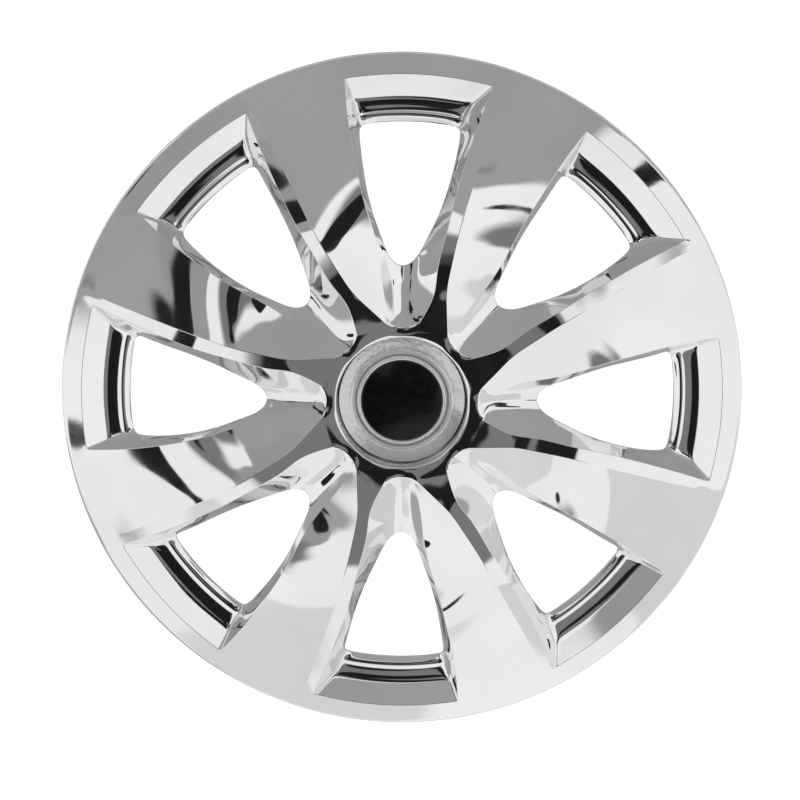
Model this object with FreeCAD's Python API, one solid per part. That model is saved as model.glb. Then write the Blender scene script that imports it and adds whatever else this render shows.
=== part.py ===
"""Eight-spoke wheel cover: a chrome-plated moulded shell with its clips, the
centre cap and domed badge plugged into its hub, and the spring wire held at
its back.

Millimetres. The cover lies on its clips, face up. The axis is Z, and Z = 0 is
the surface that the clips stand on. Angles are in degrees, clockwise from +Y
as seen from the front, so that window 0 points to +Y.
"""
import FreeCAD
import Part
import math
import os

Vector = FreeCAD.Vector
ORIGIN = Vector(0, 0, 0)
AXIS = Vector(0, 0, 1)

# Overall sizes
outer_diameter = 406.0
spoke_count = 8
wall = 2.6

# Heights above the clips' feet
rim_height = 24.0
crest_rise = 40.0

# Rim band, window flange and hole
rim_edge_width = 1.0
rim_skirt_wall = 2.4
rim_skirt_depth = 9.0
rim_edge_step = 0.6
rim_edge_chamfer = 0.7
rim_band_width = 10.6
flange_slope_width = 14.4
flange_drop = 1.0
flange_width = 14.6
spoke_end_width = 19.0
tip_radius = 79.8

# Hub and trough
hub_radius = 37.9
hub_rise = 0.5
trough_end_radius = 50.8
bend_radius = 44.6
bend_end_radius = 48.0

# Hub socket
socket_bore = 62.0
socket_wall = 2.5
socket_depth = 8.0
ledge_height = 23.0
ledge_thickness = 1.7
ledge_overlap = 1.6

# Centre cap
cap_clearance = 0.3
cap_gap = 0.7
cap_edge_thickness = 1.5
cap_step_radius = 31.0
cap_step_height = 4.2
cap_lip_radius = 29.3
cap_lip_height = 5.2
groove_outer_radius = 28.2
groove_depth = 2.2
bezel_radius = 26.3
bezel_width = 2.4
bezel_height = 5.4
bezel_chamfer = 0.7
cap_plug_wall = 2.0
cap_plug_depth = 13.0
cap_hook = 1.2
cap_slot_width = 9.0
cap_slot_rise = 5.0
cap_floor_thickness = 1.8

# Badge
badge_clearance = 0.15
badge_edge_thickness = 1.9
badge_dome = 0.9
badge_bands = 4

# Retention clips and wire
wire_diameter = 3.2
wire_clearance = 0.15
wire_flats = 8
wire_height = 7.0
clip_radius = 174.0
clip_thickness = 3.0
clip_width = 18.0
clip_angle = 26.0
clip_lip = 3.4
clip_lip_thickness = 2.0
clip_barb = 2.6
clip_barb_height = 6.0
clip_rib_length = 14.0
clip_rib_thickness = 2.0

# Values that follow from the sizes above
rim_radius = outer_diameter / 2
sector = 360.0 / spoke_count
skin_radius = rim_radius - rim_edge_width
window_top_radius = skin_radius - rim_band_width
flange_radius = window_top_radius - flange_slope_width
hole_radius = flange_radius - flange_width
spoke_end_radius = window_top_radius - spoke_end_width
seat_height = rim_height + ledge_height
hub_height = seat_height + hub_rise
cap_radius = hub_radius - cap_gap
wire_seat = wire_height - wire_diameter / 2
wire_top = wire_height + wire_diameter / 2 + wire_clearance
sewing_tolerance = 0.001
arc_points = 4


def polar(radius, angle, height):
    turn = math.radians(angle)
    return Vector(radius * math.sin(turn), radius * math.cos(turn), height)


def mix(first, second, share):
    return first + (second - first) * share


# Long lines of one sector, from the trough's end out to the hole's outer edge.
# Every line has a point at each station: how far out it is, an angle, and a
# height over the rim as a share of the crest's rise.
stations = (0.0, 0.08, 0.22, 0.38, 0.54, 0.70, 0.84, 1.0)

ridge_reaches = (0.0, 0.11, 0.25, 0.41, 0.56, 0.715, 0.847, 1.0)
ridge_angles = (34.0, 25.2, 20.3, 18.6, 18.1, 18.0, 18.0, 18.0)
ridge_rises = (0.930, 0.975, 1.0, 0.985, 0.915, 0.760, 0.583, 0.365)

strip_angles = (12.0, 16.0, 14.8, 14.6, 14.4, 14.7, 15.1, 15.65)
strip_rises = (0.915, 0.950, 0.968, 0.950, 0.878, 0.725, 0.551, 0.338)

blade_angles = (-9.0, -9.4, -8.8, -9.2, -10.5, -10.9, -11.0, -10.75)
blade_rises = (0.750, 0.730, 0.720, 0.760, 0.765, 0.685, 0.540, 0.340)

# The floor's two border lines are the hole's edges too. They lie lower, and run
# from the trough's end past the tip, then along the sides of the hole.
floor_reaches = (0.0, 0.35, 1.0, 0.25, 0.45, 0.65, 0.83, 1.0)
tip_station = floor_reaches.index(1.0)
floor_rises = (0.650, 0.635, 0.650, 0.695, 0.675, 0.570, 0.390, 0.0)
left_angles = (-4.8, -5.0, -3.8, -7.4, -9.0, -9.4, -9.3, -9.1)
right_angles = (4.8, 5.0, 4.2, 9.3, 11.5, 12.4, 12.6, 12.6)

# Where the lines end: at the window's front corners and at the flange's foot
ridge_top = (18.0, 0.125)
strip_top = (16.3, 0.105)
blade_top = (-10.2, 0.115)
left_foot_angle = -9.4
right_foot_angle = 13.3

# Bend of the trough's rim round its inner end, at its turning point and after it:
# angle, radius beyond the bend's nearest point, share of the crest's rise
bend_turn = (-4.8, 0.7, 0.905)
bend_right = ((1.0, 0.0, 0.900), (6.5, 0.9, 0.905))


def rise(share):
    return rim_height + crest_rise * share


def floor_height(share):
    return rim_height - flange_drop + (crest_rise + flange_drop) * share


def long_line(angles, rises):
    """Points of a line along the spoke, as (radius, angle, height)."""
    rows = zip(ridge_reaches, angles, rises)
    return [(mix(bend_end_radius, spoke_end_radius, reach), angle, rise(up)) for reach, angle, up in rows]


def blade_line():
    rows = zip(ridge_reaches, blade_angles, blade_rises)
    return [(mix(trough_end_radius, spoke_end_radius, reach), angle, rise(up)) for reach, angle, up in rows]


def floor_line(angles):
    """Points of a floor line: along the trough to the tip, then along the hole's side."""
    points = []
    for index, (reach, angle, up) in enumerate(zip(floor_reaches, angles, floor_rises)):
        ends = (trough_end_radius, tip_radius) if index <= tip_station else (tip_radius, hole_radius)
        points.append((mix(*ends, reach), angle, floor_height(up)))
    return points


def turned(line, angle):
    return [(radius, turn + angle, height) for radius, turn, height in line]


def lowered(line, depth):
    return [(radius, turn, height - depth) for radius, turn, height in line]


def between(first, second, count):
    """Lines that divide the band from one line to another, both ends included."""
    lines = []
    for step in range(count):
        share = step / (count - 1)
        lines.append([tuple(mix(a, b, share) for a, b in zip(p, q)) for p, q in zip(first, second)])
    return lines


def spline(points, parameters):
    curve = Part.BSplineCurve()
    curve.interpolate(Points=points, Parameters=parameters)
    return curve


def even(count):
    return [step / (count - 1) for step in range(count)]


def placed(line):
    return [polar(*point) for point in line]


def surface_through(rows, along):
    """Surface through a grid of points, each row with the same parameters along it."""
    curves = [spline(row, along) for row in rows]
    columns = zip(*[curve.getPoles() for curve in curves])
    ribs = [spline(list(column), even(len(rows))) for column in columns]
    surface = Part.BSplineSurface()
    surface.buildFromPolesMultsKnots(
        [rib.getPoles() for rib in ribs],
        curves[0].getMultiplicities(), ribs[0].getMultiplicities(),
        curves[0].getKnots(), ribs[0].getKnots(),
        False, False, curves[0].Degree, ribs[0].Degree)
    return surface


def patch(lines, along=None, start=0.0, end=1.0):
    """Face through lines of polar points, or the stretch of it between two parameters."""
    surface = surface_through([placed(line) for line in lines], along or even(len(lines[0])))
    return surface.toShape(start, end, 0.0, 1.0)


def arc_line(first, second, count):
    """Points from one polar point to another, evenly spaced in angle."""
    return [tuple(mix(a, b, share) for a, b in zip(first, second)) for share in even(count)]


def straight_line(first, second, count):
    """Polar points on the straight line from one polar point to another."""
    points = []
    for share in even(count):
        spot = mix(polar(*first), polar(*second), share)
        points.append((math.hypot(spot.x, spot.y), math.degrees(math.atan2(spot.x, spot.y)), spot.z))
    return points


def bend_points(rows, depth):
    return [(bend_radius + extra, angle, rise(share) - depth) for angle, extra, share in rows]


def sector_skin(depth):
    """Faces of one sector of the skin, lowered by depth, and its border lines.

    Each border is (line, parameters, start, end), for the band that joins front and back there.
    """
    ridge = lowered(long_line(ridge_angles, ridge_rises), depth)
    strip = lowered(long_line(strip_angles, strip_rises), depth)
    blade = lowered(blade_line(), depth)
    left = lowered(floor_line(left_angles), depth)
    right = lowered(floor_line(right_angles), depth)
    last_ridge = turned(ridge, -sector)

    # Blade, left wall and right wall of the pocket, then the spoke's top strip
    faces = [patch([last_ridge, blade], stations), patch([blade, left], stations)]
    faces += [patch([right, strip], stations), patch([strip, ridge], stations)]

    # Floor of the trough, up to the hole's tip
    floor_lines = between(left, right, arc_points)
    tip = stations[tip_station]
    faces.append(patch(floor_lines, stations, 0.0, tip))
    borders = [(left, stations, tip, 1.0), (right, stations, tip, 1.0)]
    borders.append(([line[tip_station] for line in floor_lines], even(arc_points), 0.0, 1.0))

    # From the hole's outer edge to the rim: blade, walls, flange and strip run straight on
    tops = [(window_top_radius, angle, rise(up) - depth) for angle, up in (blade_top, strip_top, ridge_top)]
    blade_end, strip_end, ridge_end = tops
    last_ridge_end = turned([ridge_end], -sector)[0]
    foot_height = rim_height - flange_drop - depth
    left_foot = (flange_radius, left_foot_angle, foot_height)
    right_foot = (flange_radius, right_foot_angle, foot_height)
    hole_edge = arc_line(left[-1], right[-1], arc_points)
    foot = arc_line(left_foot, right_foot, arc_points)
    faces.append(patch([[last_ridge[-1], last_ridge_end], [blade[-1], blade_end]]))
    faces.append(patch([[blade[-1], blade_end], [left[-1], left_foot]]))
    faces.append(patch([hole_edge, foot]))
    window_top = arc_line(blade_end, strip_end, arc_points)
    faces.append(patch([foot, window_top]))
    faces.append(patch([[right[-1], right_foot], [strip[-1], strip_end]]))
    faces.append(patch([[strip[-1], strip_end], [ridge[-1], ridge_end]]))
    borders.append((hole_edge, even(arc_points), 0.0, 1.0))

    # Rim band over the blade, over the window and beside the ridge
    blade_top_line = straight_line(last_ridge_end, blade_end, arc_points)
    for inner in (blade_top_line, window_top, [strip_end, ridge_end]):
        count = len(inner)
        edge = arc_line(inner[0], inner[-1], count)
        edge = [(skin_radius, angle, rim_height - depth) for _, angle, _ in edge]
        faces.append(patch([inner, edge]))
        borders.append((edge, even(count), 0.0, 1.0))

    # Bowl round the hub, under the bend of the trough's rim and under the strip's end
    turn = bend_points([bend_turn], depth)
    first_bend = last_ridge[:1] + turn
    second_bend = turn + bend_points(bend_right, depth) + strip[:1]
    for top in (first_bend, second_bend, [strip[0], ridge[0]]):
        base = [(hub_radius, angle, hub_height - depth) for _, angle, _ in top]
        faces.append(patch([base, top]))
        borders.append((base, even(len(base)), 0.0, 1.0))

    # End wall of the trough, in two faces that meet below the bend's turning point
    faces.append(patch([first_bend, [blade[0], left[0]]]))
    faces.append(patch([second_bend, [line[0] for line in floor_lines]]))
    return faces, borders


def make_skin():
    """The closed shell of the cover: two skins a wall apart, joined at the rim, the hub and round each hole."""
    front, borders = sector_skin(0.0)
    back, _ = sector_skin(wall)
    bands = [patch([line, lowered(line, wall)], along, start, end) for line, along, start, end in borders]
    faces = []
    for step in range(spoke_count):
        for face in front + back + bands:
            copy = face.copy()
            copy.rotate(ORIGIN, AXIS, -sector * step)
            faces.append(copy)
    shell = Part.makeShell(faces)
    shell.sewShape(sewing_tolerance)
    return shell


def revolved(points):
    """Solid of revolution about the axis, from a closed profile of (radius, height)."""
    corners = [Vector(radius, 0, height) for radius, height in points]
    profile = Part.Face(Part.makePolygon(corners + corners[:1]))
    return profile.revolve(ORIGIN, AXIS, 360)


def around(shape, angle=0.0):
    """Copies of a shape on every sector, turned clockwise from +Y."""
    copies = []
    for step in range(spoke_count):
        copy = shape.copy()
        copy.rotate(ORIGIN, AXIS, -angle - sector * step)
        copies.append(copy)
    return copies


def make_rim_skirt():
    """Ring under the rim band, with its chamfered outer edge."""
    top = rim_height - rim_edge_step
    bottom = rim_height - rim_skirt_depth
    inner = rim_radius - rim_skirt_wall
    return revolved([(inner, bottom), (rim_radius, bottom), (rim_radius, top - rim_edge_chamfer),
                     (rim_radius - rim_edge_chamfer, top), (inner, top)])


def make_socket():
    """Hub socket for the cap: a ledge that joins the bowl, and a tube below it."""
    bore = socket_bore / 2
    tube = bore + socket_wall
    ledge = hub_radius + ledge_overlap
    under = seat_height - ledge_thickness
    foot = seat_height - socket_depth
    return revolved([(bore, foot), (tube, foot), (tube, under), (ledge, under),
                     (ledge, seat_height), (bore, seat_height)])


def line_height(line, radius):
    """Height of a sector line where it crosses a radius."""
    for (inner, _, low), (outer, _, high) in zip(line, line[1:]):
        if inner <= radius <= outer:
            return mix(low, high, (radius - inner) / (outer - inner))
    return line[-1][2]


def blade_middle(radius):
    """Height of the middle of the blade's wall, at the clips' angle."""
    ridge = long_line(ridge_angles, ridge_rises) + [(window_top_radius, ridge_top[0], rise(ridge_top[1]))]
    blade = blade_line() + [(window_top_radius, blade_top[0], rise(blade_top[1]))]
    start = ridge_angles[-1]
    share = (clip_angle - start) / (blade_angles[-1] + sector - start)
    return mix(line_height(ridge, radius), line_height(blade, radius), share) - wall / 2


def plate(points, width):
    """Plate in the plane of radius and height, centred across +Y."""
    corners = [Vector(-width / 2, radius, height) for radius, height in points]
    return Part.Face(Part.makePolygon(corners + corners[:1])).extrude(Vector(width, 0, 0))


def make_clip():
    """One retention clip under a blade, pointing to +Y."""
    inner = clip_radius - clip_thickness / 2
    outer = clip_radius + clip_thickness / 2
    top = blade_middle(clip_radius)
    lip = inner - clip_lip
    pieces = [plate([(inner, 0), (outer, 0), (outer, top), (inner, top)], clip_width)]
    for low in (wire_seat - clip_lip_thickness, wire_top):
        high = low + clip_lip_thickness
        pieces.append(plate([(lip, low), (clip_radius, low), (clip_radius, high), (lip, high)], clip_width))
    barb = outer + clip_barb
    pieces.append(plate([(clip_radius, 0), (outer, 0), (barb, clip_barb_height),
                         (outer, 2 * clip_barb_height), (clip_radius, 2 * clip_barb_height)], clip_width))
    back = inner - clip_rib_length
    start = wire_top + clip_lip_thickness
    rib = plate([(clip_radius, start), (clip_radius, top), (back, blade_middle(back)),
                 (back, blade_middle(back) - wall)], clip_rib_thickness)
    for side in (-1, 1):
        copy = rib.copy()
        copy.translate(Vector(side * (clip_width - clip_rib_thickness) / 2, 0, 0))
        pieces.append(copy)
    return pieces[0].fuse(pieces[1:]).removeSplitter()


def make_cover():
    solid = Part.makeSolid(make_skin())
    return solid.fuse([make_rim_skirt(), make_socket()] + around(make_clip(), clip_angle))


def make_cap():
    """Centre cap: ringed face with a recess for the badge, and a split plug below."""
    plug = socket_bore / 2 - cap_clearance
    inside = plug - cap_plug_wall
    recess = bezel_radius - bezel_width
    floor = seat_height + bezel_height - badge_edge_thickness
    lip_top = seat_height + cap_lip_height
    step = seat_height + cap_step_height
    groove = lip_top - groove_depth
    hook = seat_height - socket_depth - cap_clearance
    end = seat_height - cap_plug_depth
    cap = revolved([
        (0, floor), (recess, floor), (recess, seat_height + bezel_height),
        (bezel_radius - bezel_chamfer, seat_height + bezel_height), (bezel_radius, groove),
        (groove_outer_radius, groove), (cap_lip_radius - bezel_chamfer, lip_top),
        (cap_lip_radius, lip_top), (cap_step_radius, step),
        (cap_radius, seat_height + cap_edge_thickness), (cap_radius, seat_height), (plug, seat_height),
        (plug, hook), (plug + cap_hook, hook), (plug, end), (inside, end),
        (inside, floor - cap_floor_thickness), (0, floor - cap_floor_thickness)])
    slot = Part.makeBox(2 * cap_radius, cap_slot_width, hook + cap_slot_rise - end,
                        Vector(-cap_radius, -cap_slot_width / 2, end))
    crossed = slot.copy()
    crossed.rotate(ORIGIN, AXIS, 90)
    return cap.cut([slot, crossed])


def make_badge():
    """Domed disc in the cap's recess, its dome drawn with narrow bands."""
    radius = bezel_radius - bezel_width - badge_clearance
    edge = seat_height + bezel_height
    crown_radius = (radius ** 2 + badge_dome ** 2) / (2 * badge_dome)
    half = math.asin(radius / crown_radius)
    profile = [(0, edge - badge_edge_thickness), (radius, edge - badge_edge_thickness)]
    for band in range(badge_bands + 1):
        turn = half * (1 - band / badge_bands)
        profile.append((crown_radius * math.sin(turn), edge + badge_dome - crown_radius * (1 - math.cos(turn))))
    return revolved(profile)


def make_wire():
    """Spring wire ring in the clips' channels, its round section drawn with flats."""
    radius = clip_radius - clip_thickness / 2 - wire_clearance - wire_diameter / 2
    corner = wire_diameter / 2 / math.cos(math.pi / wire_flats)
    turns = [math.radians(360.0 * (step + 0.5) / wire_flats) for step in range(wire_flats)]
    return revolved([(radius + corner * math.cos(turn), wire_height + corner * math.sin(turn)) for turn in turns])


PIECES = {
    "wheel_cover": make_cover,
    "centre_cap": make_cap,
    "badge": make_badge,
    "retaining_wire": make_wire,
}


def main():
    os.makedirs("parts", exist_ok=True)
    for name, make in PIECES.items():
        shape = make()
        print(name, shape.ShapeType, len(shape.Solids), shape.isValid(), round(shape.Volume), shape.BoundBox)
        shape.exportStep("parts/" + name + ".step")


main()
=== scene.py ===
import math

import bmesh
import bpy
import numpy as np
from mathutils import Matrix, Vector


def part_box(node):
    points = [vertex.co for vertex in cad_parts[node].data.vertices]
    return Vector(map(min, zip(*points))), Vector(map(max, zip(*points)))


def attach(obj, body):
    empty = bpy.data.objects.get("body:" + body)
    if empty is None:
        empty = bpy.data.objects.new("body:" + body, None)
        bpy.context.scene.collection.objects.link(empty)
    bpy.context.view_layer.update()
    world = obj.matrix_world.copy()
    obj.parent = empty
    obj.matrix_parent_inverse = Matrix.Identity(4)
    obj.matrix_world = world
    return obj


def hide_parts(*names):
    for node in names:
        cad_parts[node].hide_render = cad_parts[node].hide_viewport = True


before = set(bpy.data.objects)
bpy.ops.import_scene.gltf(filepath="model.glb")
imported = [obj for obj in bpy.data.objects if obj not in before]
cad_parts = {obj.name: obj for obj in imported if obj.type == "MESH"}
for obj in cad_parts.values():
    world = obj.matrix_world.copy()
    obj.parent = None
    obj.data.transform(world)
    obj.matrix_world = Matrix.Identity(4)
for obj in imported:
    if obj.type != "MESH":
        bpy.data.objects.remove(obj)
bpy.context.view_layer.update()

# Lengths are in millimetres and angles in degrees, clockwise from +Y as seen
# from the front, so that window 0 points to +Y. Metres are made at the end.
MM = 0.001
SPOKES = 8
SECTOR = 360 / SPOKES

# Sizes of the cover
RIM_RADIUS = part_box("wheel_cover")[1].x / MM
RIM_HEIGHT = 24.0
CREST_RISE = 40.0
WALL = 2.6
RIM_EDGE_WIDTH = 1.0
RIM_EDGE_DROP = 0.8
SKIN_RADIUS = RIM_RADIUS - RIM_EDGE_WIDTH
SKIRT_DEPTH = 9.0
SKIRT_WALL = 2.4
RIM_BAND_WIDTH = 10.6
WINDOW_TOP_RADIUS = SKIN_RADIUS - RIM_BAND_WIDTH
SPOKE_END_INSET = 19.0
SPOKE_END_RADIUS = WINDOW_TOP_RADIUS - SPOKE_END_INSET
FLANGE_INSET = 14.4
FLANGE_RADIUS = WINDOW_TOP_RADIUS - FLANGE_INSET
FLANGE_DROP = 1.0
FLANGE_HEIGHT = RIM_HEIGHT - FLANGE_DROP
TROUGH_END_RADIUS = 50.8
TROUGH_SAG = 1.6
BEND_END_RADIUS = 48.0
BEND_RADIUS = 44.6
HUB_RADIUS = 37.9
SEAT_HEIGHT = 47.0
HUB_STEP = 0.5
HUB_HEIGHT = SEAT_HEIGHT + HUB_STEP
SOCKET_BORE = 31.0
SOCKET_TUBE = 33.5
SOCKET_DEPTH = 8.0
SOCKET_FOOT = SEAT_HEIGHT - SOCKET_DEPTH

# Long lines of one sector: how far out each station is, its angle and its
# height over the rim as a share of the crest's rise. The last station is the
# window's front corner.
STATIONS = (0.0, 0.08, 0.22, 0.38, 0.54, 0.70, 0.84, 1.0, 1.153)
TIP = STATIONS[2]
REACHES = (0.0, 0.11, 0.25, 0.41, 0.56, 0.715, 0.847, 1.0)
RIDGE_ANGLES = (34.0, 25.2, 20.3, 18.6, 18.1, 18.0, 18.0, 18.0, 18.0)
RIDGE_RISES = (0.930, 0.975, 1.0, 0.985, 0.915, 0.760, 0.583, 0.365, 0.125)
STRIP_ANGLES = (12.0, 16.0, 14.8, 14.6, 14.4, 14.7, 15.1, 15.65, 16.3)
STRIP_RISES = (0.915, 0.950, 0.968, 0.950, 0.878, 0.725, 0.551, 0.338, 0.105)
BLADE_ANGLES = (-9.0, -9.4, -8.8, -9.2, -10.5, -10.9, -11.0, -10.75, -10.2)
BLADE_RISES = (0.890, 0.830, 0.740, 0.760, 0.765, 0.685, 0.540, 0.340, 0.115)

# The trough's floor lines, which go on as the hole's side edges
FLOOR_RADII = (TROUGH_END_RADIUS, 60.95, 79.8, 100.45, 116.97, 133.49, 148.36, 162.4)
FLOOR_RISES = (0.855, 0.780, 0.655, 0.695, 0.675, 0.570, 0.390, 0.0)
LEFT_ANGLES = (-4.8, -5.0, -4.9, -7.4, -9.0, -9.4, -9.3, -9.1)
RIGHT_ANGLES = (4.8, 5.0, 5.5, 9.3, 11.5, 12.4, 12.6, 12.6)
LEFT_FOOT_ANGLE = -9.4
RIGHT_FOOT_ANGLE = 13.3

# Bend of the trough's rim round its inner end: angle, distance past the
# bend's radius, share of the crest's rise
BEND_TURN = (-4.8, 0.7, 0.905)
BEND_RIGHT = ((1.0, 0.0, 0.900), (6.5, 0.9, 0.905))

# The shoulder from the bend to the edge of the well that the cap sits in
WELL_GAP = 0.9
WELL_RADIUS = HUB_RADIUS + WELL_GAP
WELL_HEIGHT = 59.9
SHOULDER_CROWN = 0.3

# The flange from the hole's edge to its foot: share of its width, lift of its rolled lip
FLANGE_PROFILE = ((0.0, -0.9), (0.14, 0.4), (0.36, 1.4), (0.46, 0.1), (1.0, 0.0))

# How far the hole's corners draw in from its ends, as shares of a long line
TIP_ROUND = 0.045
CORNER_ROUND = 0.014

# Cells of the cage: the blade has two for each of the wall's
TROUGH_CELLS = 4
HOLE_CELLS = 8
WALL_CELLS = 2
BLADE_CELLS = 2 * WALL_CELLS
FLOOR_CELLS = 4
STRIP_CELLS = 2
WINDOW_SHARES = (0.0, 0.07, 0.28, 0.5, 0.72, 0.93, 1.0)

# How sharp the cage's soft edges stay, from 0 to 1
HOLE_CREASE = 0.85
OUTER_CORNER_CREASE = 0.8
TROUGH_CREASE = 0.8
BEND_CREASE = 0.75
WELL_CREASE = 0.75
RIM_CREASE = 0.7
OUTER_FOOT_CREASE = 0.45

# Rounding of the sharp edges: the widest, and shares of it
EDGE_ROUNDING = 0.9
RIDGE_SHARE = 1.0
HOLE_FRONT_SHARE = 0.7
HOLE_BACK_SHARE = 0.4
SKIRT_SHARE = 0.4
SOCKET_SHARE = 0.3
ROUNDING_SEGMENTS = 2
SMOOTH_LEVELS = 2


def mix(first, second, share):
    return tuple(a + (b - a) * share for a, b in zip(first, second))


def between(first, second, cells):
    """Polar points from one to another, ends included."""
    return [mix(first, second, step / cells) for step in range(cells + 1)]


def across_window(first, second):
    """Polar points from one side of a window to the other, closer at its corners."""
    return [mix(first, second, share) for share in WINDOW_SHARES]


def rise(share):
    return RIM_HEIGHT + CREST_RISE * share


def floor_height(share):
    return FLANGE_HEIGHT + (CREST_RISE + RIM_HEIGHT - FLANGE_HEIGHT) * share


def spline(knots, points):
    """Natural cubic spline through points at knots, as a function of the parameter."""
    knots = np.array(knots, float)
    points = np.array(points, float)
    step = np.diff(knots)
    count = len(knots)
    matrix = np.eye(count)
    right = np.zeros_like(points)
    for i in range(1, count - 1):
        matrix[i, i - 1:i + 2] = step[i - 1], 2 * (step[i - 1] + step[i]), step[i]
        right[i] = 6 * ((points[i + 1] - points[i]) / step[i] - (points[i] - points[i - 1]) / step[i - 1])
    bend = np.linalg.solve(matrix, right)

    def at(value):
        i = min(max(int(np.searchsorted(knots, value)) - 1, 0), count - 2)
        a = (knots[i + 1] - value) / step[i]
        b = (value - knots[i]) / step[i]
        curve = ((a ** 3 - a) * bend[i] + (b ** 3 - b) * bend[i + 1]) * step[i] ** 2 / 6
        return tuple(a * points[i] + b * points[i + 1] + curve)
    return at


def spoke_line(start, angles, rises):
    radii = [start + (SPOKE_END_RADIUS - start) * reach for reach in REACHES] + [WINDOW_TOP_RADIUS]
    return spline(STATIONS, [(r, angle, rise(up)) for r, angle, up in zip(radii, angles, rises)])


def floor_line(angles):
    heights = [floor_height(up) for up in FLOOR_RISES]
    return spline(STATIONS[:-1], list(zip(FLOOR_RADII, angles, heights)))


ridge_at = spoke_line(BEND_END_RADIUS, RIDGE_ANGLES, RIDGE_RISES)
strip_at = spoke_line(BEND_END_RADIUS, STRIP_ANGLES, STRIP_RISES)
blade_at = spoke_line(TROUGH_END_RADIUS, BLADE_ANGLES, BLADE_RISES)
left_at = floor_line(LEFT_ANGLES)
right_at = floor_line(RIGHT_ANGLES)


def last_ridge_at(value):
    radius, angle, height = ridge_at(value)
    return radius, angle - SECTOR, height


def even(first, last, cells):
    return [first + (last - first) * step / cells for step in range(cells + 1)]


class Cage:
    """Faces on shared points, repeated on every sector, with the edges that stay sharp."""

    def __init__(self):
        self.points = {}
        self.faces = []
        self.creases = {}
        self.bevels = {}

    def point(self, polar, sector):
        radius, angle, height = polar
        turn = math.radians(angle + sector * SECTOR)
        place = (radius * math.sin(turn), radius * math.cos(turn), height)
        key = tuple(round(value, 4) for value in place)
        return self.points.setdefault(key, len(self.points))

    def face(self, corners):
        for sector in range(SPOKES):
            self.faces.append([self.point(corner, sector) for corner in corners])

    def grid(self, rows):
        for upper, lower in zip(rows, rows[1:]):
            for a, b, c, d in zip(upper, upper[1:], lower[1:], lower):
                self.face((a, b, c, d))

    def edge(self, line, crease=1.0, bevel=0.0):
        """Marks a line of points as an edge: how sharp it stays, and its share of the rounding."""
        for sector in range(SPOKES):
            index = [self.point(polar, sector) for polar in line]
            for pair in zip(index, index[1:]):
                self.creases[tuple(sorted(pair))] = crease
                self.bevels[tuple(sorted(pair))] = bevel

    def make(self, name):
        mesh = bpy.data.meshes.new(name)
        mesh.from_pydata([Vector(place) * MM for place in self.points], [], self.faces)
        crease = mesh.attributes.new("crease_edge", "FLOAT", "EDGE")
        bevel = mesh.attributes.new("bevel_weight_edge", "FLOAT", "EDGE")
        for edge in mesh.edges:
            key = tuple(sorted(edge.vertices))
            crease.data[edge.index].value = self.creases.get(key, 0.0)
            bevel.data[edge.index].value = self.bevels.get(key, 0.0)
        shape = bmesh.new()
        shape.from_mesh(mesh)
        bmesh.ops.recalc_face_normals(shape, faces=shape.faces)
        shape.to_mesh(mesh)
        shape.free()
        mesh.polygons.foreach_set("use_smooth", [True] * len(mesh.polygons))
        return mesh


def lowered(rows, depth):
    return [[(radius, angle, height - depth) for radius, angle, height in row] for row in rows]


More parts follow.
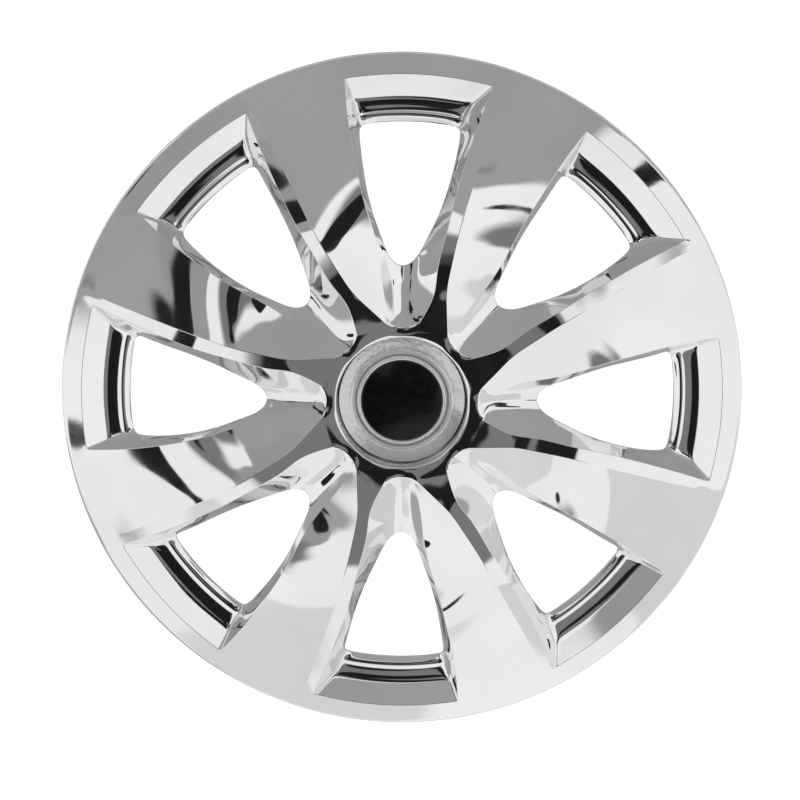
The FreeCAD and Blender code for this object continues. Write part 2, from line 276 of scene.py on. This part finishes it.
def cover_lines():
    """The rows of polar points of one sector's front skin, by name."""
    tip = TIP + TIP_ROUND
    end = 1.0 - CORNER_ROUND
    trough = even(0.0, tip, TROUGH_CELLS)
    spoke = trough + even(tip, end, HOLE_CELLS)[1:]
    flange_shares = [share for share, _ in FLANGE_PROFILE[1:]]
    along = spoke + [1.0 + (STATIONS[-1] - 1.0) * share for share in flange_shares]
    left_foot = (FLANGE_RADIUS, LEFT_FOOT_ANGLE, FLANGE_HEIGHT)
    right_foot = (FLANGE_RADIUS, RIGHT_FOOT_ANGLE, FLANGE_HEIGHT)
    left = [left_at(t) for t in spoke]
    left += [mix(left_at(end), left_foot, share) for share in flange_shares]
    right = [right_at(t) for t in spoke]
    right += [mix(right_at(end), right_foot, share) for share in flange_shares]
    lines = {
        "blade": [between(last_ridge_at(t), blade_at(t), BLADE_CELLS) for t in along],
        "left_wall": [between(blade_at(t), low, WALL_CELLS) for t, low in zip(along, left)],
        "right_wall": [between(low, strip_at(t), WALL_CELLS) for t, low in zip(along, right)],
        "strip": [between(strip_at(t), ridge_at(t), STRIP_CELLS) for t in along],
        "floor": [],
        "flange": [],
    }

    # The trough's floor ends in the rounded tip of the hole
    for row in range(TROUGH_CELLS + 1):
        points = []
        for column in range(FLOOR_CELLS + 1):
            across = column / FLOOR_CELLS
            draw = TIP_ROUND * (1 - math.sqrt(1 - (2 * across - 1) ** 2))
            t = (TIP + draw) * row / TROUGH_CELLS
            radius, angle, height = mix(left_at(t), right_at(t), across)
            points.append((radius, angle, height - TROUGH_SAG * (1 - abs(2 * across - 1))))
        lines["floor"].append(points)

    # The flange's rolled lip dies out in the hole's rounded corners
    edge = across_window(left_at(1.0), right_at(1.0))
    foot = across_window(left_foot, right_foot)
    for row, (share, lift) in enumerate(FLANGE_PROFILE):
        points = [mix(low, high, share) for low, high in zip(edge, foot)]
        points = [(radius, angle, height + lift) for radius, angle, height in points]
        points[0] = left[len(spoke) - 1 + row]
        points[-1] = right[len(spoke) - 1 + row]
        lines["flange"].append(points)
    outer_left = lines["left_wall"][-1]
    outer_right = lines["right_wall"][-1][::-1]
    lines["outer_wall"] = [across_window(a, b) for a, b in zip(outer_left, outer_right)]

    turn_angle, turn_extra, turn_rise = BEND_TURN
    turn = (BEND_RADIUS + turn_extra, turn_angle, rise(turn_rise))
    bend = [(BEND_RADIUS + extra, angle, rise(up)) for angle, extra, up in BEND_RIGHT]
    lines["first_bend"] = between(last_ridge_at(0.0), turn, WALL_CELLS)
    through = spline(even(0.0, 1.0, len(bend) + 1), [turn] + bend + [strip_at(0.0)])
    lines["second_bend"] = [through(t) for t in even(0.0, 1.0, FLOOR_CELLS)]
    return lines


def ring(columns, radius, height):
    """A circle's points at the angles of a row, a little out so that its smoothed line has that radius."""
    row = []
    for index, (_, angle, _) in enumerate(columns):
        before = columns[index - 1][1] if index else columns[-2][1] - SECTOR
        after = columns[index + 1][1] if index + 1 < len(columns) else columns[1][1] + SECTOR
        near = math.cos(math.radians(angle - before)) + math.cos(math.radians(after - angle))
        row.append((radius / (2 / 3 + near / 6), angle, height))
    return row


def add_skin(cage, lines, depth):
    """Front or back skin of one sector, from its rows of points."""
    skin = {name: lowered(rows, depth) for name, rows in lines.items() if "bend" not in name}
    for rows in skin.values():
        cage.grid(rows)
    first = lowered([lines["first_bend"]], depth)[0]
    second = lowered([lines["second_bend"]], depth)[0]

    # End wall of the trough: its blade side has two cells for each of the others
    foot = skin["left_wall"][0]
    columns = [between(top, low, WALL_CELLS) for top, low in zip(first, foot)]
    cage.grid(columns[1:])
    inner = skin["blade"][0]
    for step in range(WALL_CELLS):
        cage.face((*inner[2 * step:2 * step + 3], columns[1][step + 1], columns[1][step]))
    side = skin["right_wall"][0][::-1]
    ends = [between(top, low, WALL_CELLS) for top, low in zip(second, skin["floor"][0])]
    ends[0] = columns[-1]
    ends[-1] = side
    cage.grid(ends)

    # Shoulder and well round the hub
    rim = first[:-1] + second[:-1] + skin["strip"][0]
    hub = ring(rim, HUB_RADIUS, HUB_HEIGHT - depth)
    well = ring(rim, WELL_RADIUS, WELL_HEIGHT - depth)
    shoulder = []
    for high, low in zip(rim, well):
        radius, angle, height = mix(high, low, 0.5)
        shoulder.append((radius, angle, height + SHOULDER_CROWN))
    cage.grid([rim, shoulder, well, hub])
    cage.edge(well, WELL_CREASE)
    return skin, rim, hub


def make_cover_mesh():
    lines = cover_lines()
    cage = Cage()
    front, front_bend, front_hub = add_skin(cage, lines, 0.0)
    back, back_bend, back_hub = add_skin(cage, lines, WALL)

    # Hole edges, where front and back skins meet
    tip = TROUGH_CELLS
    end = TROUGH_CELLS + HOLE_CELLS
    loops = []
    for skin in (front, back):
        left = [row[-1] for row in skin["left_wall"]][tip:end + 1]
        right = [row[0] for row in skin["right_wall"]][tip:end + 1]
        loops.append((left, right, skin["floor"][-1], skin["flange"][0]))
    for top, low in zip(*loops):
        cage.grid([top, low])
        cage.edge(top, HOLE_CREASE, HOLE_FRONT_SHARE)
        cage.edge(low, HOLE_CREASE, HOLE_BACK_SHARE)

    # Rim band, edge and skirt
    columns = front["blade"][-1][:-1] + front["outer_wall"][0][:-1] + front["strip"][-1]
    inner = back["blade"][-1][:-1] + back["outer_wall"][0][:-1] + back["strip"][-1]
    skin_edge = ring(columns, SKIN_RADIUS, RIM_HEIGHT)
    bottom = RIM_HEIGHT - SKIRT_DEPTH
    rings = [columns, [mix(a, b, 0.5) for a, b in zip(columns, skin_edge)], skin_edge]
    rings.append(ring(columns, RIM_RADIUS, RIM_HEIGHT - RIM_EDGE_DROP))
    rings.append(ring(columns, RIM_RADIUS, bottom))
    rings.append(ring(columns, RIM_RADIUS - SKIRT_WALL, bottom))
    rings.append(ring(columns, RIM_RADIUS - SKIRT_WALL, RIM_HEIGHT - WALL))
    rings.append(inner)
    cage.grid(rings)
    for row in rings[2:4]:
        cage.edge(row, RIM_CREASE)
    for row in rings[4:7]:
        cage.edge(row, bevel=SKIRT_SHARE)

    # Socket for the cap
    profile = ((HUB_RADIUS, SEAT_HEIGHT), (SOCKET_BORE, SEAT_HEIGHT), (SOCKET_BORE, SOCKET_FOOT),
               (SOCKET_TUBE, SOCKET_FOOT), (SOCKET_TUBE, HUB_HEIGHT - WALL))
    rings = [ring(front_bend, *corner) for corner in profile]
    cage.grid([front_hub] + rings + [back_hub])
    for row in [front_hub] + rings + [back_hub]:
        cage.edge(row, bevel=SOCKET_SHARE)

    # Feature lines of both skins, rounded on the front
    for skin, share in ((front, RIDGE_SHARE), (back, 0.0)):
        cage.edge([row[0] for row in skin["strip"]], bevel=share)
        cage.edge([row[-1] for row in skin["strip"]], bevel=share)
        cage.edge([row[0] for row in skin["left_wall"]], bevel=share)
        cage.edge([row[0] for row in skin["outer_wall"]], OUTER_CORNER_CREASE)
        cage.edge([row[-1] for row in skin["outer_wall"]], OUTER_CORNER_CREASE)
        cage.edge(skin["outer_wall"][0], bevel=share)
        cage.edge(skin["outer_wall"][-1], OUTER_FOOT_CREASE)
        cage.edge([row[FLOOR_CELLS // 2] for row in skin["floor"]], TROUGH_CREASE)
    for bend in (front_bend, back_bend):
        cage.edge(bend, BEND_CREASE)
    return cage.make("wheel_cover_skin")


def new_object(name, mesh, material):
    piece = bpy.data.objects.new(name, mesh)
    bpy.context.scene.collection.objects.link(piece)
    piece.data.materials.append(material)
    return piece


def make_cover(material):
    piece = new_object("cover_shell", make_cover_mesh(), material)
    smooth = piece.modifiers.new("smooth", "SUBSURF")
    smooth.levels = SMOOTH_LEVELS
    smooth.render_levels = SMOOTH_LEVELS
    rounding = piece.modifiers.new("rounding", "BEVEL")
    rounding.limit_method = "WEIGHT"
    rounding.width = EDGE_ROUNDING * MM
    rounding.segments = ROUNDING_SEGMENTS
    rounding.harden_normals = True
    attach(piece, "root")
    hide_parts("wheel_cover")


# Small pieces: steps of a full turn, the angle over which an edge is rounded,
# and the distance in metres within which two points are one
TURN_SEGMENTS = 144
ROUNDED_ANGLE = 24.0
WELD_DISTANCE = 1e-6


def lathe(profile, start=0.0, turn=360.0, segments=TURN_SEGMENTS):
    """Points and faces of a closed profile of radius and height, turned round the axis."""
    whole = turn == 360.0
    stops = segments if whole else segments + 1
    points = []
    for step in range(stops):
        angle = math.radians(start + turn * step / segments)
        points += [(r * math.sin(angle), r * math.cos(angle), z) for r, z in profile]
    count = len(profile)
    faces = []
    for step in range(segments):
        here = step * count
        there = (step + 1) % stops * count
        for i in range(count):
            j = (i + 1) % count
            faces.append((here + i, here + j, there + j, there + i))
    if not whole:
        faces.append(tuple(range(count)))
        faces.append(tuple(range(segments * count, stops * count)))
    return points, faces


def plate(outline, middle, width, angle):
    """Points and faces of an outline of radius and height, as thick as width, at an angle."""
    turn = math.radians(angle)
    points = []
    for side in (middle - width / 2, middle + width / 2):
        for r, z in outline:
            x = side * math.cos(turn) + r * math.sin(turn)
            y = r * math.cos(turn) - side * math.sin(turn)
            points.append((x, y, z))
    count = len(outline)
    faces = [tuple(range(count)), tuple(range(count, 2 * count))]
    for i in range(count):
        j = (i + 1) % count
        faces.append((i, j, count + j, count + i))
    return points, faces


def make_piece(name, forms, material, rounding=0.0):
    """One object of several closed forms, its sharp edges rounded where a width is given."""
    points = []
    faces = []
    for form_points, form_faces in forms:
        faces += [[index + len(points) for index in face] for face in form_faces]
        points += form_points
    mesh = bpy.data.meshes.new(name)
    mesh.from_pydata([Vector(place) * MM for place in points], [], faces)
    shape = bmesh.new()
    shape.from_mesh(mesh)
    bmesh.ops.remove_doubles(shape, verts=shape.verts, dist=WELD_DISTANCE)
    bmesh.ops.recalc_face_normals(shape, faces=shape.faces)
    shape.to_mesh(mesh)
    shape.free()
    mesh.polygons.foreach_set("use_smooth", [True] * len(mesh.polygons))
    piece = new_object(name, mesh, material)
    if rounding:
        bevel = piece.modifiers.new("rounding", "BEVEL")
        bevel.limit_method = "ANGLE"
        bevel.angle_limit = math.radians(ROUNDED_ANGLE)
        bevel.width = rounding * MM
        bevel.segments = ROUNDING_SEGMENTS
        bevel.harden_normals = True
    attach(piece, "root")
    return piece


# Sizes of the clips and the wire
WIRE_LOW, WIRE_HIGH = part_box("retaining_wire")
WIRE_HEIGHT = (WIRE_LOW.z + WIRE_HIGH.z) / 2 / MM
WIRE_THICKNESS = (WIRE_HIGH.z - WIRE_LOW.z) / MM
WIRE_RADIUS = WIRE_HIGH.x / MM - WIRE_THICKNESS / 2
WIRE_CLEARANCE = 0.15
WIRE_SIDES = 14
WIRE_SEGMENTS = 192
CLIP_RADIUS = 174.0
CLIP_THICKNESS = 3.0
CLIP_WIDTH = 18.0
CLIP_ANGLE = 26.0
CLIP_LIP = 3.4
CLIP_LIP_THICKNESS = 2.0
CLIP_BARB = 2.6
CLIP_BARB_HEIGHT = 6.0
CLIP_RIB_LENGTH = 14.0
CLIP_RIB_THICKNESS = 2.0
CLIP_ROUNDING = 0.25

# Where along the blade the clips' height is looked up, and in how many steps
LOOKUP_START = 0.5
LOOKUP_STEPS = 60


def blade_middle(radius):
    """Height of the middle of the blade's wall, at the clips' angle."""
    stops = even(LOOKUP_START, STATIONS[-1], LOOKUP_STEPS)
    ridge = [last_ridge_at(t) for t in stops]
    blade = [blade_at(t) for t in stops]
    share = (CLIP_ANGLE - SECTOR - ridge[-1][1]) / (blade[-1][1] - ridge[-1][1])
    heights = [np.interp(radius, [p[0] for p in line], [p[2] for p in line]) for line in (ridge, blade)]
    return heights[0] + (heights[1] - heights[0]) * share - WALL / 2


def make_clips(material):
    inner = CLIP_RADIUS - CLIP_THICKNESS / 2
    outer = CLIP_RADIUS + CLIP_THICKNESS / 2
    lip = inner - CLIP_LIP
    top = blade_middle(CLIP_RADIUS)
    seat = WIRE_HEIGHT - WIRE_THICKNESS / 2
    cover = WIRE_HEIGHT + WIRE_THICKNESS / 2 + WIRE_CLEARANCE
    upper = cover + CLIP_LIP_THICKNESS
    lower = seat - CLIP_LIP_THICKNESS
    hook = ((inner, 0), (outer, 0), (outer + CLIP_BARB, CLIP_BARB_HEIGHT), (outer, 2 * CLIP_BARB_HEIGHT),
            (outer, top), (inner, top), (inner, upper), (lip, upper), (lip, cover), (inner, cover),
            (inner, seat), (lip, seat), (lip, lower), (inner, lower))
    back = inner - CLIP_RIB_LENGTH
    rib = ((CLIP_RADIUS, upper), (CLIP_RADIUS, top),
           (back, blade_middle(back)), (back, blade_middle(back) - WALL))
    forms = []
    for sector in range(SPOKES):
        angle = CLIP_ANGLE + sector * SECTOR
        forms.append(plate(hook, 0.0, CLIP_WIDTH, angle))
        for side in (-1, 1):
            middle = side * (CLIP_WIDTH - CLIP_RIB_THICKNESS) / 2
            forms.append(plate(rib, middle, CLIP_RIB_THICKNESS, angle))
    piece = make_piece("cover_clips", forms, material, CLIP_ROUNDING)


def make_wire(material):
    turns = [2 * math.pi * step / WIRE_SIDES for step in range(WIRE_SIDES)]
    half = WIRE_THICKNESS / 2
    section = [(WIRE_RADIUS + half * math.cos(turn), WIRE_HEIGHT + half * math.sin(turn)) for turn in turns]
    piece = make_piece("spring_wire_ring", [lathe(section, segments=WIRE_SEGMENTS)], material)
    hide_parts("retaining_wire")


# Sizes of the cap and the badge
CAP_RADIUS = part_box("centre_cap")[1].x / MM
CAP_EDGE = 1.5
CAP_STEP = (31.0, 4.2)
CAP_LIP = (29.3, 5.2)
CAP_LIP_WIDTH = 0.7
GROOVE_RADIUS = 28.2
GROOVE_DEPTH = 2.2
BEZEL_RADIUS = 26.3
BEZEL_WIDTH = 2.4
BEZEL_HEIGHT = 5.4
BEZEL_ARCH = ((0.0, 1.1), (0.10, 0.55), (0.28, 0.14), (0.5, 0.0),
              (0.72, 0.14), (0.90, 0.55), (1.0, 1.1))
PLUG_CLEARANCE = 0.3
PLUG_RADIUS = SOCKET_BORE - PLUG_CLEARANCE
PLUG_WALL = 2.0
PLUG_DEPTH = 13.0
PLUG_HOOK = 1.2
PLUG_SLOT_WIDTH = 9.0
PLUG_SLOT_RISE = 5.0
PLUG_FINGERS = 4
FINGER_SEGMENTS = 30
FINGER_OVERLAP = 1.0
CAP_FLOOR = 1.8
CAP_ROUNDING = 0.22
BADGE_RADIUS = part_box("badge")[1].x / MM
BADGE_EDGE = 1.9
BADGE_DOME = 0.9
BADGE_BANDS = 14
BADGE_ROUNDING = 0.3


def make_cap(material):
    seat = SEAT_HEIGHT
    recess = BEZEL_RADIUS - BEZEL_WIDTH
    floor = seat + BEZEL_HEIGHT - BADGE_EDGE
    groove = seat + CAP_LIP[1] - GROOVE_DEPTH
    hook = SOCKET_FOOT - PLUG_CLEARANCE
    split = hook + PLUG_SLOT_RISE
    inside = PLUG_RADIUS - PLUG_WALL
    end = seat - PLUG_DEPTH
    crest = seat + BEZEL_HEIGHT
    bezel = [(recess + BEZEL_WIDTH * across, crest - drop) for across, drop in BEZEL_ARCH]
    face = ((0, floor), (recess, floor), *bezel, (BEZEL_RADIUS, groove), (GROOVE_RADIUS, groove),
            (CAP_LIP[0] - CAP_LIP_WIDTH, seat + CAP_LIP[1]), (CAP_LIP[0], seat + CAP_LIP[1]),
            (CAP_STEP[0], seat + CAP_STEP[1]), (CAP_RADIUS, seat + CAP_EDGE), (CAP_RADIUS, seat),
            (PLUG_RADIUS, seat), (PLUG_RADIUS, split), (inside, split),
            (inside, floor - CAP_FLOOR), (0, floor - CAP_FLOOR))
    root = split + FINGER_OVERLAP
    finger = ((PLUG_RADIUS, root), (PLUG_RADIUS, hook), (PLUG_RADIUS + PLUG_HOOK, hook),
              (PLUG_RADIUS, end), (inside, end), (inside, root))
    gap = math.degrees(math.asin(PLUG_SLOT_WIDTH / 2 / PLUG_RADIUS))
    pitch = 360 / PLUG_FINGERS
    forms = [lathe(face)]
    for number in range(PLUG_FINGERS):
        forms.append(lathe(finger, number * pitch + gap, pitch - 2 * gap, FINGER_SEGMENTS))
    piece = make_piece("ringed_cap", forms, material, CAP_ROUNDING)
    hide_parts("centre_cap")


def make_badge(material):
    edge = SEAT_HEIGHT + BEZEL_HEIGHT
    crown = (BADGE_RADIUS ** 2 + BADGE_DOME ** 2) / (2 * BADGE_DOME)
    half = math.asin(BADGE_RADIUS / crown)
    profile = [(0, edge - BADGE_EDGE), (BADGE_RADIUS, edge - BADGE_EDGE)]
    for band in range(BADGE_BANDS + 1):
        turn = half * (1 - band / BADGE_BANDS)
        profile.append((crown * math.sin(turn), edge + BADGE_DOME - crown * (1 - math.cos(turn))))
    piece = make_piece("badge_dome", [lathe(profile)], material, BADGE_ROUNDING)
    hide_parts("badge")


# The middle of a noise's values, which is spread over a material's range, and how fine the noises are
NOISE_LOW = 0.35
NOISE_HIGH = 0.65
ROUGHNESS_DETAIL = 5
COLOUR_DETAIL = 4

# The cap's face is grained outside this radius, fully so from the second
GRAIN_RADII = (29.7, 30.2)


class Surface:
    """A material whose colour, roughness and bump come from noise in the part's own space."""

    def __init__(self, name, metallic):
        self.material = bpy.data.materials.new(name)
        self.material.use_nodes = True
        self.tree = self.material.node_tree
        self.shader = self.tree.nodes["Principled BSDF"]
        self.shader.inputs["Metallic"].default_value = metallic
        self.place = self.tree.nodes.new("ShaderNodeTexCoord").outputs["Object"]
        self.normal = None

    def noise(self, scale, detail):
        node = self.tree.nodes.new("ShaderNodeTexNoise")
        node.inputs["Scale"].default_value = scale
        node.inputs["Detail"].default_value = detail
        self.tree.links.new(self.place, node.inputs["Vector"])
        return node.outputs["Fac"]

    def spread(self, source, low, high, start=NOISE_LOW, stop=NOISE_HIGH):
        node = self.tree.nodes.new("ShaderNodeMapRange")
        for name, value in (("From Min", start), ("From Max", stop), ("To Min", low), ("To Max", high)):
            node.inputs[name].default_value = value
        self.tree.links.new(source, node.inputs["Value"])
        return node.outputs["Result"]

    def roughness(self, scale, low, high):
        amount = self.spread(self.noise(scale, ROUGHNESS_DETAIL), low, high)
        self.tree.links.new(amount, self.shader.inputs["Roughness"])

    def colour(self, scale, first, second):
        ramp = self.tree.nodes.new("ShaderNodeValToRGB")
        ramp.color_ramp.elements[0].position = NOISE_LOW
        ramp.color_ramp.elements[0].color = (*first, 1)
        ramp.color_ramp.elements[1].position = NOISE_HIGH
        ramp.color_ramp.elements[1].color = (*second, 1)
        self.tree.links.new(self.noise(scale, COLOUR_DETAIL), ramp.inputs["Fac"])
        self.tree.links.new(ramp.outputs["Color"], self.shader.inputs["Base Color"])

    def bump(self, scale, detail, depth, mask=None):
        """Adds bumps of a depth in millimetres, all over or where a mask is 1."""
        node = self.tree.nodes.new("ShaderNodeBump")
        node.inputs["Strength"].default_value = 1.0
        node.inputs["Distance"].default_value = depth * MM
        height = self.noise(scale, detail)
        if mask:
            product = self.tree.nodes.new("ShaderNodeMath")
            product.operation = "MULTIPLY"
            self.tree.links.new(height, product.inputs[0])
            self.tree.links.new(mask, product.inputs[1])
            height = product.outputs["Value"]
        self.tree.links.new(height, node.inputs["Height"])
        if self.normal:
            self.tree.links.new(self.normal, node.inputs["Normal"])
        self.normal = node.outputs["Normal"]
        self.tree.links.new(self.normal, self.shader.inputs["Normal"])

    def from_axis(self):
        """Distance from the axis."""
        flat = self.tree.nodes.new("ShaderNodeVectorMath")
        flat.operation = "MULTIPLY"
        flat.inputs[1].default_value = (1, 1, 0)
        self.tree.links.new(self.place, flat.inputs[0])
        length = self.tree.nodes.new("ShaderNodeVectorMath")
        length.operation = "LENGTH"
        self.tree.links.new(flat.outputs["Vector"], length.inputs[0])
        return length.outputs["Value"]


# The four materials: noise scales are per metre, and bumps are in millimetres
def chrome_shell():
    surface = Surface("chrome_shell", 1.0)
    surface.colour(14, (0.83, 0.83, 0.84), (0.90, 0.90, 0.905))
    surface.roughness(45, 0.025, 0.06)
    surface.bump(24, 1, 0.03)
    surface.bump(420, 2, 0.002)
    return surface.material


def chrome_cap():
    surface = Surface("chrome_cap", 0.6)
    surface.colour(500, (0.88, 0.88, 0.885), (0.97, 0.97, 0.975))
    start, stop = GRAIN_RADII
    grained = surface.spread(surface.from_axis(), 0, 1, start * MM, stop * MM)
    surface.bump(360, 3, 0.16, grained)
    surface.bump(1200, 2, 0.05, grained)
    surface.roughness(900, 0.12, 0.26)
    return surface.material


def badge_black():
    surface = Surface("badge_black", 0.0)
    surface.colour(90, (0.004, 0.004, 0.006), (0.008, 0.008, 0.011))
    surface.roughness(240, 0.10, 0.22)
    surface.bump(60, 1, 0.01)
    surface.shader.inputs["Coat Weight"].default_value = 1.0
    surface.shader.inputs["Coat Roughness"].default_value = 0.03
    return surface.material


def spring_wire():
    surface = Surface("spring_wire", 1.0)
    surface.colour(120, (0.44, 0.44, 0.44), (0.58, 0.58, 0.57))
    surface.roughness(700, 0.22, 0.42)
    surface.bump(900, 3, 0.01)
    return surface.material


# Surroundings that the chrome mirrors: a pale room, whose lines waver more towards the top
ROOM_BRIGHTNESS = 0.93
ROOM_WOBBLE = 0.16
WOBBLE_START = 0.35
WOBBLE_FULL = 0.75
WOBBLE_SCALE = 3.2
WOBBLE_DETAIL = 1.5
BACKDROP_BRIGHTNESS = 0.97

# Panels in that room: direction, full angle, faded angle, brightness
PANELS = (
    ((0.80, -0.55, 0.40), 17, 19, 0.70),
    ((0.95, 0.35, 0.30), 15, 18, 0.76),
    ((-0.25, -0.90, 0.55), 13, 16, 0.74),
    ((0.0, 1.0, 0.45), 43, 45.5, 0.36),
    ((0.74, 0.54, 0.42), 14, 18, 0.38),
    ((-0.80, 0.30, 0.55), 17, 22, 0.38),
    ((-0.50, 0.32, 0.80), 12, 14, 0.34),
    ((-0.75, -0.65, 0.05), 20, 27, 0.40),
    ((0.0, -0.10, 0.99), 25, 29, 0.20),
    ((0.0, -0.18, 0.98), 11, 13, 0.012),
    ((-0.17, -0.21, 0.96), 13, 15, 0.012),
)

# Dark bars in that room, as chains of spots: direction and angle
BAR_BRIGHTNESS = 0.015
BAR_FADE = 1.8
BAR_SPOTS = (
    ((-0.01, 0.02, 1.00), 5),
    ((0.12, 0.10, 0.99), 4),
    ((0.25, 0.20, 0.95), 3.5),
    ((0.06, 0.31, 0.95), 3.5),
    ((0.34, 0.27, 0.90), 3),
    ((0.43, 0.38, 0.82), 3),
    ((0.55, 0.41, 0.73), 1.5),
    ((0.67, 0.42, 0.61), 1),
    ((-0.18, -0.38, 0.91), 4),
    ((-0.30, -0.28, 0.91), 8),
    ((-0.43, -0.34, 0.83), 5),
    ((-0.60, -0.22, 0.77), 3),
    ((-0.74, 0.23, 0.64), 5),
)
CARDS = PANELS + tuple((spot, angle, angle + BAR_FADE, BAR_BRIGHTNESS) for spot, angle in BAR_SPOTS)


def make_world():
    world = bpy.data.worlds.new("studio")
    bpy.context.scene.world = world
    world.use_nodes = True
    tree = world.node_tree
    tree.nodes.clear()
    link = tree.links.new

    def vector_node(operation, first, second):
        node = tree.nodes.new("ShaderNodeVectorMath")
        node.operation = operation
        link(first, node.inputs[0])
        if isinstance(second, (tuple, Vector)):
            node.inputs[1].default_value = second
        else:
            link(second, node.inputs[1])
        return node.outputs

    place = tree.nodes.new("ShaderNodeTexCoord").outputs["Generated"]
    noise = tree.nodes.new("ShaderNodeTexNoise")
    noise.inputs["Scale"].default_value = WOBBLE_SCALE
    noise.inputs["Detail"].default_value = WOBBLE_DETAIL
    link(place, noise.inputs["Vector"])
    shift = vector_node("SUBTRACT", noise.outputs["Color"], (0.5, 0.5, 0.5))["Vector"]
    height = tree.nodes.new("ShaderNodeSeparateXYZ")
    link(place, height.inputs["Vector"])
    amount = tree.nodes.new("ShaderNodeMapRange")
    amount.inputs["From Min"].default_value = WOBBLE_START
    amount.inputs["From Max"].default_value = WOBBLE_FULL
    amount.inputs["To Max"].default_value = ROOM_WOBBLE
    link(height.outputs["Z"], amount.inputs["Value"])
    shift = vector_node("MULTIPLY", shift, amount.outputs["Result"])["Vector"]
    moved = vector_node("ADD", place, shift)["Vector"]
    level = None
    for direction, full, faded, brightness in CARDS:
        toward = vector_node("DOT_PRODUCT", moved, Vector(direction).normalized())["Value"]
        fade = tree.nodes.new("ShaderNodeMapRange")
        fade.interpolation_type = "SMOOTHSTEP"
        fade.inputs["From Min"].default_value = math.cos(math.radians(faded))
        fade.inputs["From Max"].default_value = math.cos(math.radians(full))
        link(toward, fade.inputs["Value"])
        layer = tree.nodes.new("ShaderNodeMix")
        link(fade.outputs["Result"], layer.inputs["Factor"])
        layer.inputs["A"].default_value = ROOM_BRIGHTNESS
        layer.inputs["B"].default_value = brightness
        if level:
            link(level, layer.inputs["A"])
        level = layer.outputs["Result"]
    studio = tree.nodes.new("ShaderNodeBackground")
    link(level, studio.inputs["Color"])
    plain = tree.nodes.new("ShaderNodeBackground")
    plain.inputs["Color"].default_value = (*[BACKDROP_BRIGHTNESS] * 3, 1)
    path = tree.nodes.new("ShaderNodeLightPath")
    choice = tree.nodes.new("ShaderNodeMixShader")
    link(path.outputs["Is Camera Ray"], choice.inputs["Fac"])
    link(studio.outputs["Background"], choice.inputs[1])
    link(plain.outputs["Background"], choice.inputs[2])
    output = tree.nodes.new("ShaderNodeOutputWorld")
    link(choice.outputs["Shader"], output.inputs["Surface"])


# The floor, in metres, and its own light, as the camera sees it and as the chrome mirrors it
FLOOR_REACH = 6.0
FLOOR_BRIGHTNESS = 0.9
FLOOR_ROUGHNESS = 0.9
FLOOR_GLOW = 0.85
FLOOR_GLOW_MIRRORED = 0.12


def make_floor():
    mesh = bpy.data.meshes.new("floor")
    corners = ((-1, -1), (1, -1), (1, 1), (-1, 1))
    mesh.from_pydata([(x * FLOOR_REACH, y * FLOOR_REACH, 0) for x, y in corners], [], [(0, 1, 2, 3)])
    material = bpy.data.materials.new("pale_floor")
    material.use_nodes = True
    tree = material.node_tree
    shader = tree.nodes["Principled BSDF"]
    shader.inputs["Base Color"].default_value = (*[FLOOR_BRIGHTNESS] * 3, 1)
    shader.inputs["Roughness"].default_value = FLOOR_ROUGHNESS
    shader.inputs["Emission Color"].default_value = (1, 1, 1, 1)
    path = tree.nodes.new("ShaderNodeLightPath")
    glow = tree.nodes.new("ShaderNodeMapRange")
    glow.inputs["To Min"].default_value = FLOOR_GLOW_MIRRORED
    glow.inputs["To Max"].default_value = FLOOR_GLOW
    tree.links.new(path.outputs["Is Camera Ray"], glow.inputs["Value"])
    tree.links.new(glow.outputs["Result"], shader.inputs["Emission Strength"])
    new_object("floor", mesh, material)


# The photograph's view: tilt off the axis, and the rim's centre and radius in its 800-pixel frame
TILT = 10.0
IMAGE_SIZE = 800
RIM_CENTRE_PX = (401.9, 392.4)
RIM_RADIUS_PX = 340.0
CAMERA_DISTANCE = 2.6


def make_camera():
    camera = bpy.data.objects.new("camera", bpy.data.cameras.new("camera"))
    bpy.context.scene.collection.objects.link(camera)
    tilt = math.radians(TILT)
    back = Vector((0, math.sin(tilt), math.cos(tilt)))
    up = Vector((0, math.cos(tilt), -math.sin(tilt)))
    right = up.cross(back)
    per_metre = RIM_RADIUS_PX / (RIM_RADIUS * MM)
    aim = Vector((0, 0, RIM_HEIGHT * MM))
    aim -= right * (RIM_CENTRE_PX[0] - IMAGE_SIZE / 2) / per_metre
    aim += up * (RIM_CENTRE_PX[1] - IMAGE_SIZE / 2) / per_metre
    camera.location = aim + back * CAMERA_DISTANCE
    camera.rotation_euler = Matrix((right, up, back)).transposed().to_euler()
    camera.data.lens = camera.data.sensor_width * per_metre * CAMERA_DISTANCE / IMAGE_SIZE
    bpy.context.scene.camera = camera


def main():
    shell = chrome_shell()
    make_cover(shell)
    make_clips(shell)
    make_cap(chrome_cap())
    make_badge(badge_black())
    make_wire(spring_wire())
    make_world()
    make_floor()
    make_camera()
    bpy.context.scene.view_settings.view_transform = "Standard"


main()
